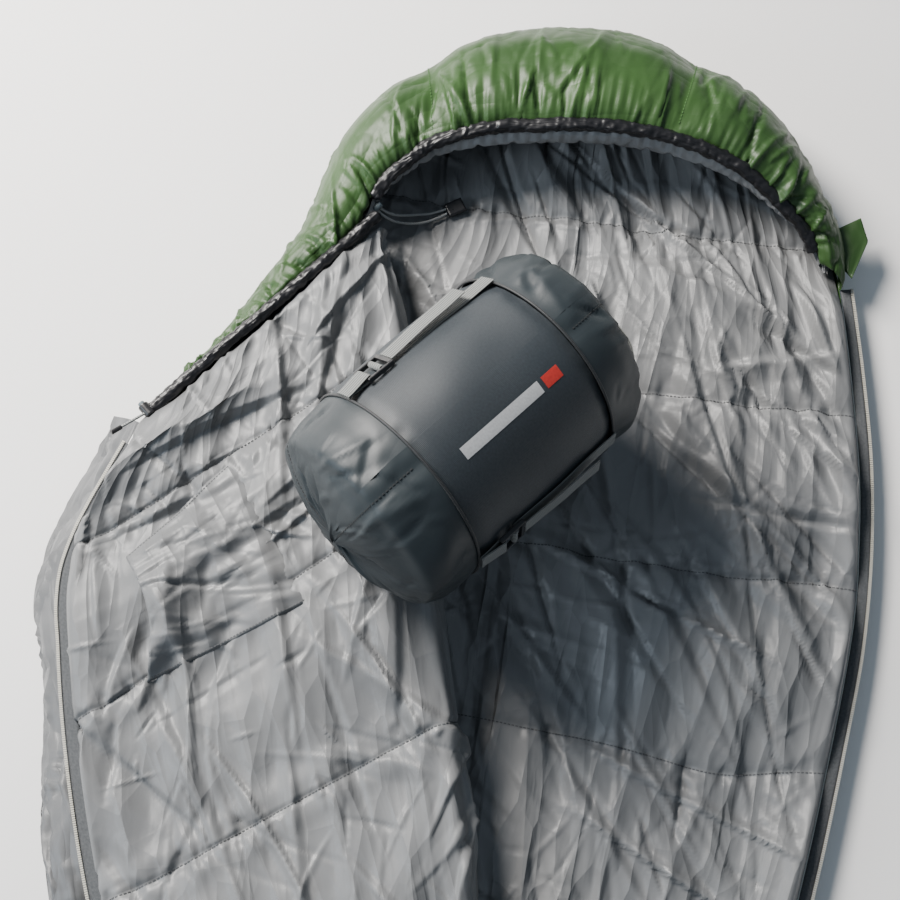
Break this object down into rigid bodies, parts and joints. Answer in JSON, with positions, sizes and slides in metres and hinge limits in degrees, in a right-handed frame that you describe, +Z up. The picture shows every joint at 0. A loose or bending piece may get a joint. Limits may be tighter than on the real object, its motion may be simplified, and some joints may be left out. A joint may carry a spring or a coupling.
{
  "type": "mummy sleeping bag",
  "caption": "Down-filled mummy sleeping bag lying unzipped with its front turned back, hood with drawcord, inner pocket, and a round compression sack resting on it.",
  "frame": {"origin": "centre of the bounding box on the floor, under the bag's middle", "axes": "+Y from the foot to the hood, +X towards the zip side, +Z up from the floor the bag lies on"},
  "size_m": [0.8909, 2.1734, 0.3344],
  "materials": {
    "shell_cloth": "satin",
    "lining_cloth": "satin",
    "down_filling": "matte",
    "baffle_mesh": "matte",
    "elastic_binding": "satin",
    "drawcord": "matte",
    "black_plastic": "satin",
    "grey_plastic": "satin",
    "spring_steel": "satin",
    "zip_tape": "matte",
    "zip_chain": "satin",
    "zip_metal": "satin",
    "green_tab": "satin",
    "hook_tape": "matte",
    "hang_webbing": "matte",
    "sack_cloth": "matte",
    "sack_end_cloth": "gloss",
    "sack_trim": "satin",
    "sack_filling": "matte",
    "strap_webbing": "matte"
  },
  "bodies": {
    "bag": {"back_shell": "shell_cloth", "front_shell": "shell_cloth", "side_shell": "shell_cloth", "hood_shell": "shell_cloth", "back_lining": "lining_cloth", "front_lining": "lining_cloth", "hood_lining": "lining_cloth", "pocket_panel": "lining_cloth", "draft_tube_cover": "lining_cloth", "back_down": "down_filling", "front_down": "down_filling", "side_wall_down": "down_filling", "hood_down": "down_filling", "draft_tube_down": "down_filling", "back_baffle_walls": "baffle_mesh", "hood_binding": "elastic_binding", "neck_binding": "elastic_binding", "hood_drawcord": "drawcord", "neck_drawcord": "drawcord", "hood_cord_upper": "drawcord", "hood_cord_lower": "drawcord", "neck_cord": "drawcord", "hood_cord_end": "black_plastic", "neck_cord_end": "black_plastic", "hood_cord_lock": "grey_plastic", "hood_lock_spring": "spring_steel", "zip_tape_back": "zip_tape", "zip_tape_front": "zip_tape", "zip_chain_back": "zip_chain", "zip_chain_front": "zip_chain", "zip_chain_closed": "zip_chain", "zip_bottom_stop": "zip_chain", "foot_hang_loops": "hang_webbing"},
    "compression_sack": {"sack_body": "sack_cloth", "sack_cap_lower": "sack_end_cloth", "sack_cap_upper": "sack_end_cloth", "sack_piping": "sack_trim", "sack_contents": "sack_filling", "sack_strap_anchors": "strap_webbing", "sack_strap_mains": "strap_webbing", "sack_strap_tails": "strap_webbing", "sack_handle": "strap_webbing"},
    "ladder_lock_a": {"ladder_lock_a": "black_plastic", "ladder_wrap_a": "strap_webbing"},
    "ladder_lock_b": {"ladder_lock_b": "black_plastic", "ladder_wrap_b": "strap_webbing"},
    "ladder_lock_c": {"ladder_lock_c": "black_plastic", "ladder_wrap_c": "strap_webbing"},
    "zip_slider": {"zip_slider": "zip_metal"},
    "zip_pull": {"zip_pull": "zip_metal"},
    "zip_tab": {"zip_tab": "green_tab", "zip_tab_hook": "hook_tape"},
    "hood_lock_button": {"hood_lock_button": "grey_plastic"},
    "neck_lock": {"neck_lock": "black_plastic", "neck_lock_spring": "spring_steel"},
    "neck_lock_button": {"neck_lock_button": "grey_plastic"}
  },
  "joints": [
    {"name": "sack_lift_off", "type": "slide", "parent": "bag", "child": "compression_sack", "axis": [0, 0, 1], "range_m": [0, 0.45]},
    {"name": "ladder_lock_a_tilt", "type": "hinge", "parent": "compression_sack", "child": "ladder_lock_a", "pos_m": [-0.10035, 0.55715, 0.29328], "axis": [0.6328, -0.3386, 0.6964], "range_deg": [0, 40]},
    {"name": "ladder_lock_b_tilt", "type": "hinge", "parent": "compression_sack", "child": "ladder_lock_b", "pos_m": [0.04241, 0.4333, 0.23822], "axis": [0.0593, -0.2619, -0.9633], "range_deg": [0, 40]},
    {"name": "ladder_lock_c_tilt", "type": "hinge", "parent": "compression_sack", "child": "ladder_lock_c", "pos_m": [-0.12001, 0.53855, 0.14148], "axis": [-0.4478, 0.5136, 0.7319], "range_deg": [0, 40]},
    {"name": "zip_run", "type": "slide", "parent": "bag", "child": "zip_slider", "axis": [0, -1, 0], "range_m": [0, 0.12]},
    {"name": "zip_pull_swing", "type": "hinge", "parent": "zip_slider", "child": "zip_pull", "pos_m": [0.31, -0.775, 0.041], "axis": [0, 0, 1], "range_deg": [0, 170]},
    {"name": "zip_tab_fold", "type": "hinge", "parent": "bag", "child": "zip_tab", "pos_m": [0.3825, 0.856, 0.0434], "axis": [0.3818, -0.9243, 0], "range_deg": [0, 110]},
    {"name": "hood_lock_press", "type": "slide", "parent": "bag", "child": "hood_lock_button", "axis": [0.6383, 0.6583, 0.399], "range_m": [0, 0.0025], "stiffness_N_per_m": 200, "springref_m": -0.001, "deforming": ["hood_lock_spring"]},
    {"name": "neck_lock_slide", "type": "slide", "parent": "bag", "child": "neck_lock", "axis": [-0.5565, -0.691, 0.4614], "range_m": [0, 0.02]},
    {"name": "neck_lock_press", "type": "slide", "parent": "neck_lock", "child": "neck_lock_button", "axis": [0.7788, -0.6273, 0], "range_m": [0, 0.0025], "stiffness_N_per_m": 200, "springref_m": -0.001, "deforming": ["neck_lock_spring"]}
  ]
}
